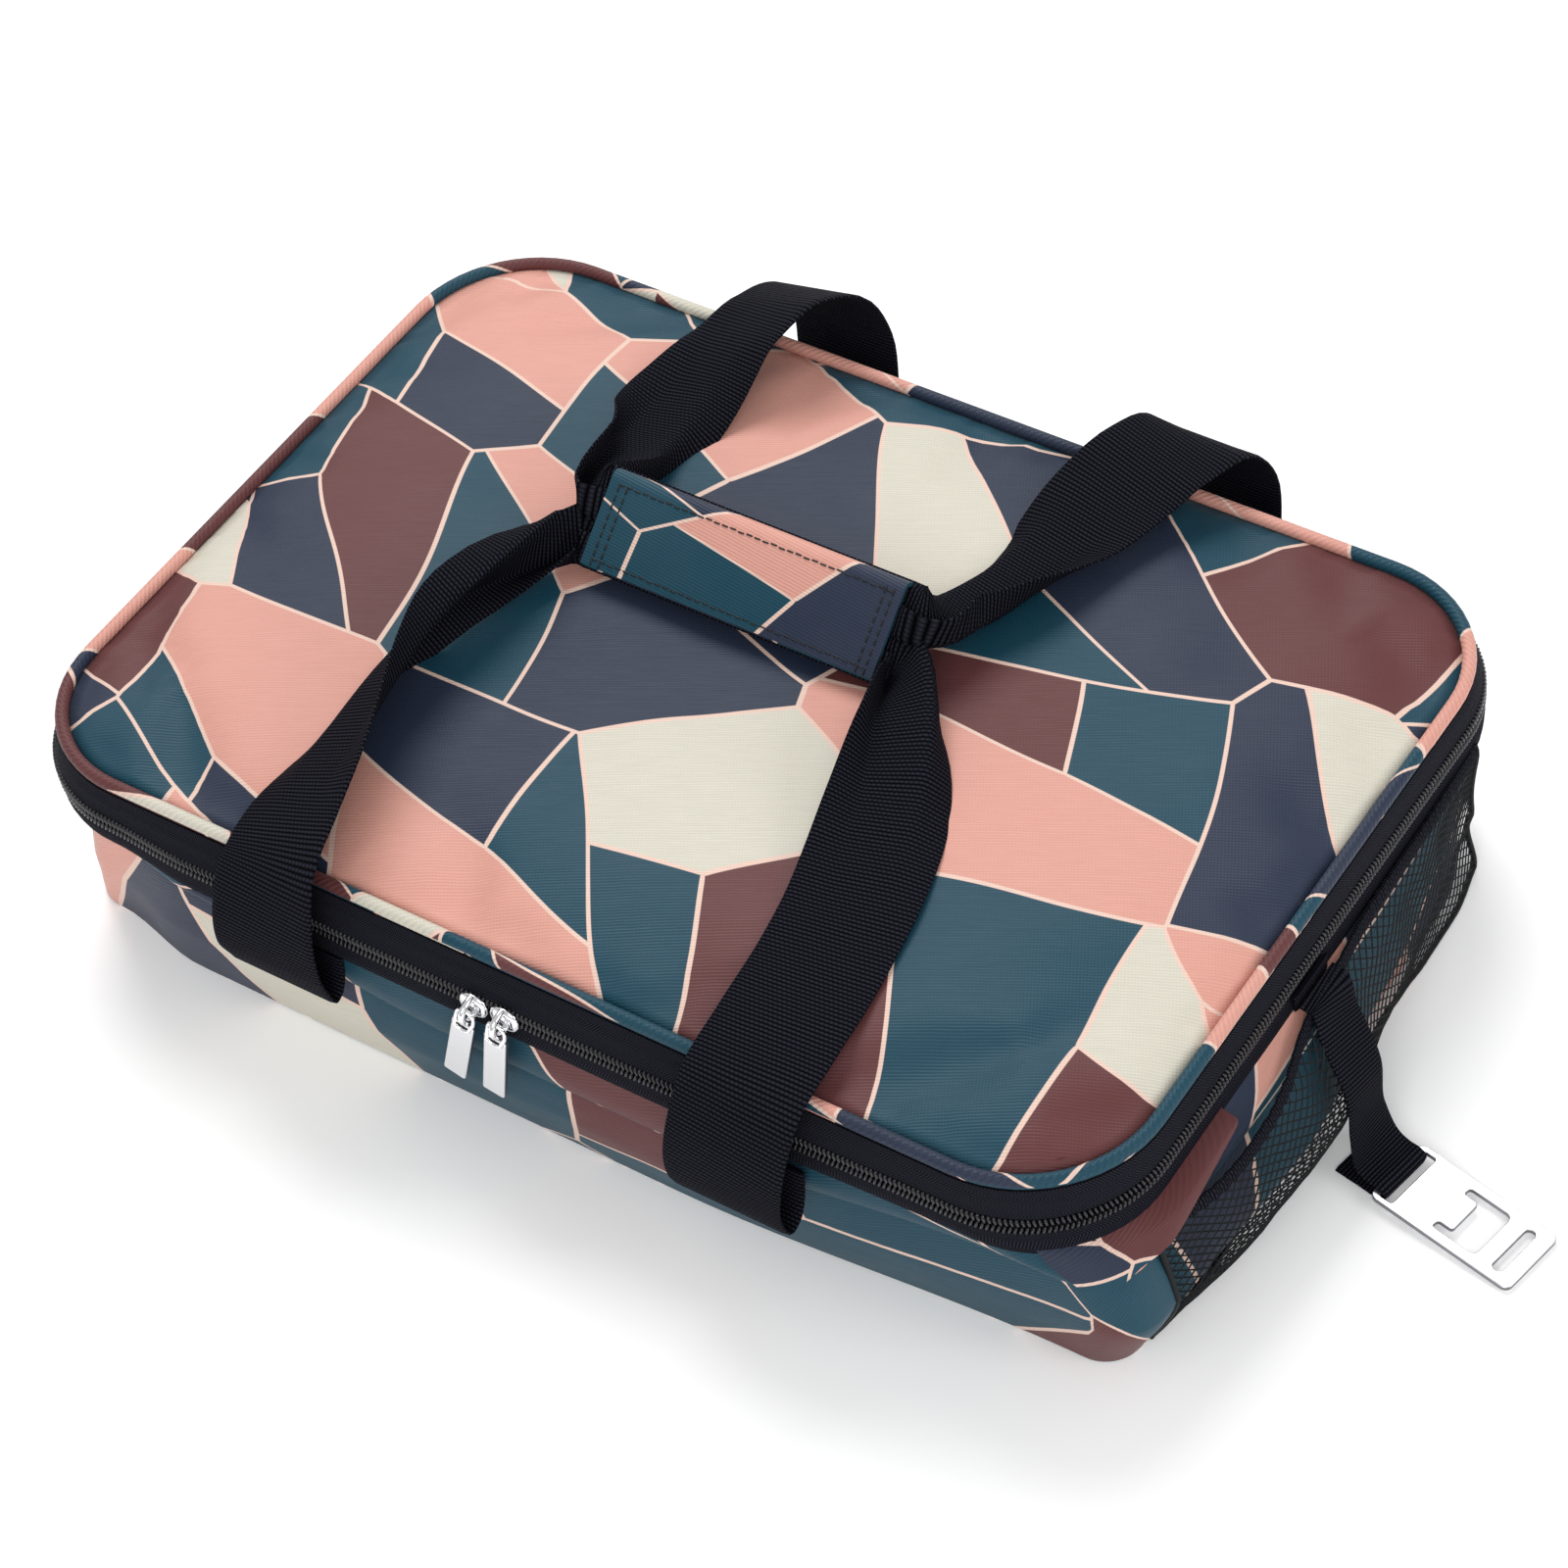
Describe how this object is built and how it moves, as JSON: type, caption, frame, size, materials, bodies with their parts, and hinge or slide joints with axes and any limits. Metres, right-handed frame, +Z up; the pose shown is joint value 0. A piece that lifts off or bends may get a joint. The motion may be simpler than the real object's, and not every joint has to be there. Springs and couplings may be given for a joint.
{
  "type": "collapsible cooler box",
  "caption": "Soft-sided insulated cooler box that folds low, with a zip lid, webbing carrying handles joined by a wrapped grip, mesh side pockets and a strapped bottle opener.",
  "frame": {"origin": "middle of the flat underside of the base", "axes": "+X along the long side towards the opener strap, +Y from the zip pulls to the lid hinge, +Z up"},
  "size_m": [0.5473, 0.3467, 0.1287],
  "materials": {
    "printed_fabric": "satin",
    "grip_fabric": "satin",
    "piping": "satin",
    "black_webbing": "ribbed matt",
    "black_tape": "woven matt",
    "black_net": "open mesh",
    "zip_coil": "semi-gloss",
    "silver_liner": "soft metallic film",
    "pale_foam": "closed-cell foam",
    "stiff_board": "matt",
    "chrome": "polished",
    "satin_steel": "satin"
  },
  "bodies": {
    "base": {"base_panel": "printed_fabric", "base_board": "stiff_board", "base_foam": "pale_foam", "floor_liner": "silver_liner", "lower_wall": "printed_fabric", "fold_insulation": "pale_foam", "fold_liner": "silver_liner", "pocket_net_left": "black_net", "pocket_net_right": "black_net"},
    "pocket_right": {"pocket_binding_right": "black_webbing"},
    "pocket_left": {"pocket_binding_left": "black_webbing"},
    "rim": {"rim_wall": "printed_fabric", "rim_binding": "black_tape", "zip_tape_lower": "black_tape", "zip_coil_lower": "zip_coil", "zip_stop_left": "black_tape", "zip_stop_right": "black_tape", "web_tail_front_left": "black_webbing", "web_tail_front_right": "black_webbing", "web_tail_back_left": "black_webbing", "web_tail_back_right": "black_webbing", "opener_anchor": "black_webbing"},
    "lid": {"lid_cover": "printed_fabric", "lid_foam": "pale_foam", "lid_liner": "silver_liner", "lid_piping": "piping", "zip_tape_upper": "black_tape", "zip_coil_upper": "zip_coil", "lid_hinge_strip": "printed_fabric"},
    "front_handle": {"front_web_left": "black_webbing", "front_web_right": "black_webbing", "front_web_grip": "black_webbing"},
    "back_handle": {"back_web_left": "black_webbing", "back_web_right": "black_webbing", "back_web_grip": "black_webbing", "grip_wrap": "grip_fabric", "grip_loop_tape": "black_tape"},
    "grip_flap": {"grip_flap": "grip_fabric", "grip_hook_tape": "black_tape"},
    "slider_left": {"slider_left": "chrome"},
    "slider_right": {"slider_right": "chrome"},
    "pull_left": {"pull_left": "chrome"},
    "pull_right": {"pull_right": "chrome"},
    "opener_strap": {"opener_strap": "black_webbing"},
    "opener": {"opener_plate": "satin_steel"}
  },
  "joints": [
    {"name": "expand", "type": "slide", "parent": "base", "child": "rim", "axis": [0, 0, 1], "range_m": [0, 0.18], "deforming": ["fold_insulation", "fold_liner"]},
    {"name": "pocket_rise_right", "type": "slide", "parent": "base", "child": "pocket_right", "axis": [0, 0, 1], "range_m": [0, 0.081], "deforming": ["pocket_net_right"]},
    {"name": "pocket_rise_left", "type": "slide", "parent": "base", "child": "pocket_left", "axis": [0, 0, 1], "range_m": [0, 0.081], "deforming": ["pocket_net_left"]},
    {"name": "lid_open", "type": "hinge", "parent": "rim", "child": "lid", "pos_m": [0, 0.154, 0.0735], "axis": [-1, 0, 0], "range_deg": [0, 100], "deforming": ["lid_hinge_strip"]},
    {"name": "front_handle_swing", "type": "hinge", "parent": "rim", "child": "front_handle", "pos_m": [0, -0.167, 0.046], "axis": [1, 0, 0], "range_deg": [0, 160], "deforming": ["front_web_left", "front_web_right", "front_web_grip"]},
    {"name": "back_handle_swing", "type": "hinge", "parent": "rim", "child": "back_handle", "pos_m": [0, 0.1715, 0.048], "axis": [-1, 0, 0], "range_deg": [0, 125], "deforming": ["back_web_left", "back_web_right"]},
    {"name": "grip_flap_open", "type": "hinge", "parent": "back_handle", "child": "grip_flap", "pos_m": [-0.015, 0.00601, 0.10426], "axis": [-1, 0, 0], "range_deg": [0, 120]},
    {"name": "slide_left", "type": "slide", "parent": "rim", "child": "slider_left", "axis": [-1, 0, 0], "range_m": [0, 0.035]},
    {"name": "slide_right", "type": "slide", "parent": "rim", "child": "slider_right", "axis": [1, 0, 0], "range_m": [0, 0.05]},
    {"name": "pull_left_swing", "type": "hinge", "parent": "slider_left", "child": "pull_left", "pos_m": [-0.0113, -0.1616, 0.0735], "axis": [-1, 0, 0], "range_deg": [0, 150]},
    {"name": "pull_right_swing", "type": "hinge", "parent": "slider_right", "child": "pull_right", "pos_m": [0.0013, -0.1616, 0.0735], "axis": [-1, 0, 0], "range_deg": [0, 150]},
    {"name": "opener_strap_swing", "type": "hinge", "parent": "rim", "child": "opener_strap", "pos_m": [0.22548, -0.012, 0.0657], "axis": [0, -1, 0], "range_deg": [0, 90]},
    {"name": "opener_tilt", "type": "hinge", "parent": "opener_strap", "child": "opener", "pos_m": [0.263, -0.0255, 0.0038], "axis": [-0.1908, -0.9816, 0], "range_deg": [0, 95]}
  ],
  "couplings": [
    {"joint": "pocket_rise_right", "follows": "expand", "ratio": 0.45},
    {"joint": "pocket_rise_left", "follows": "expand", "ratio": 0.45},
    {"joint": "front_handle_swing", "follows": "lid_open", "ratio": 1.6},
    {"joint": "back_handle_swing", "follows": "lid_open", "ratio": 1.25},
    {"joint": "grip_flap_open", "follows": "lid_open", "ratio": 1.2}
  ]
}
